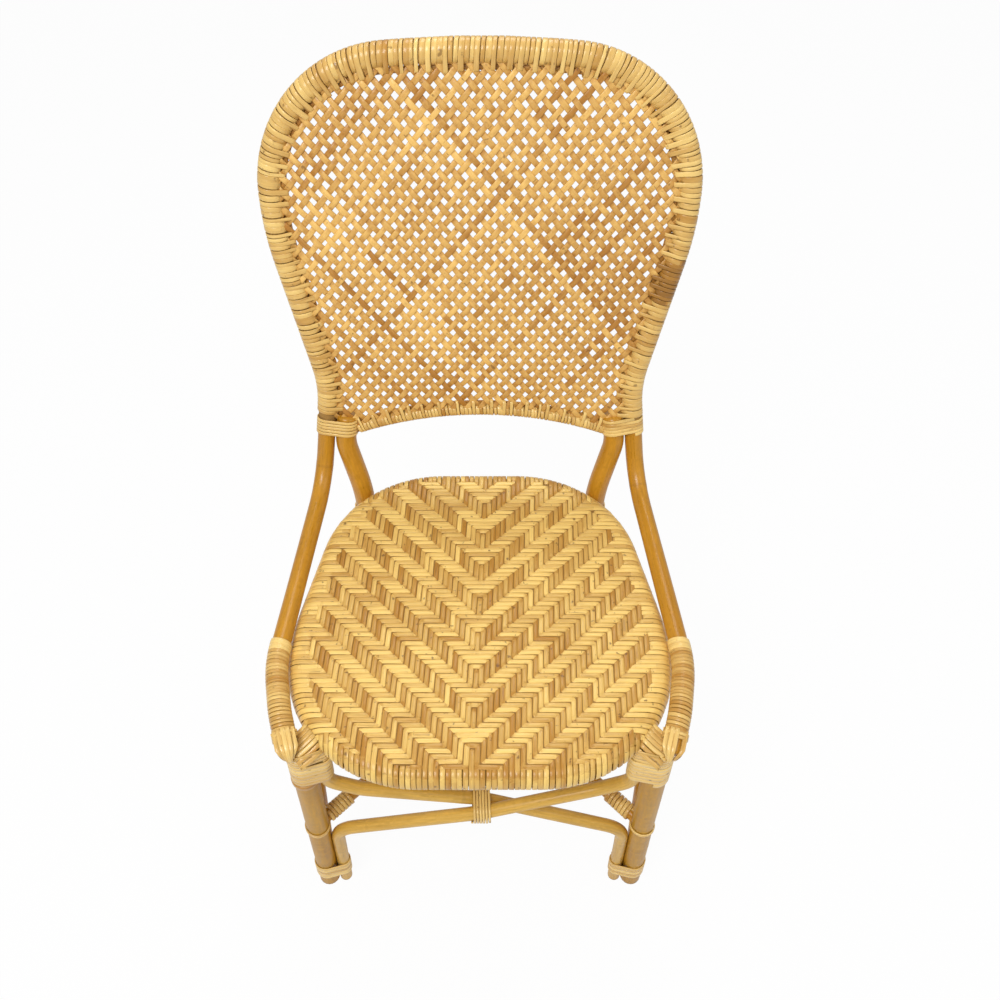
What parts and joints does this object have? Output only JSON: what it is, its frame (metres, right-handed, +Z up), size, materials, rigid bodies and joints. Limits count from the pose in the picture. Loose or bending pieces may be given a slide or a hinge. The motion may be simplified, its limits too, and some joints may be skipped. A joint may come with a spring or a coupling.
{
  "type": "cane back dining chair",
  "caption": "Rattan dining chair with a caned balloon back, a woven herringbone seat, side rails that end in knobs, and bound crossing poles.",
  "frame": {"origin": "on the floor, under the middle of the chair's bounding box", "axes": "+Z up, the front of the seat faces -Y, +X is the right side as seen from the front"},
  "size_m": [0.4846, 0.5725, 0.9575],
  "materials": {
    "brown_pole": "lacquered orange-brown rattan pole",
    "pale_pole": "lacquered pale tan rattan pole with fine grain along it",
    "peel": "glossy flat rattan peel, honey coloured",
    "cane": "semi-gloss woven cane strands",
    "seat_weave": "semi-gloss woven rattan peel in herringbone",
    "slat": "plain split rattan"
  },
  "bodies": {
    "root": {"back_bottom_rail": "brown_pole", "back_bottom_rail_wrap": "peel", "back_corner_bindings": "peel", "back_hoop": "brown_pole", "back_hoop_wrap": "peel", "cane_strands_falling": "cane", "cane_strands_rising": "cane", "crossing_pole_bindings": "peel", "diagonal_stretcher_left": "brown_pole", "diagonal_stretcher_right": "brown_pole", "front_crossing_pole_left": "pale_pole", "front_crossing_pole_right": "pale_pole", "front_foot_bindings": "peel", "front_leg_bindings": "peel", "front_leg_left": "pale_pole", "front_leg_right": "pale_pole", "rear_crossing_pole_left": "pale_pole", "rear_crossing_pole_right": "pale_pole", "rear_foot_bindings": "peel", "rear_leg_bindings": "peel", "rear_leg_left": "pale_pole", "rear_leg_right": "pale_pole", "seat_ring": "pale_pole", "seat_slats": "slat", "seat_weave": "seat_weave", "side_arch_left": "pale_pole", "side_arch_right": "pale_pole", "side_rail_caps": "peel", "side_rail_left": "brown_pole", "side_rail_right": "brown_pole", "side_rail_wrap_left": "peel", "side_rail_wrap_right": "peel", "stretcher_wraps": "peel"}
  },
  "joints": []
}
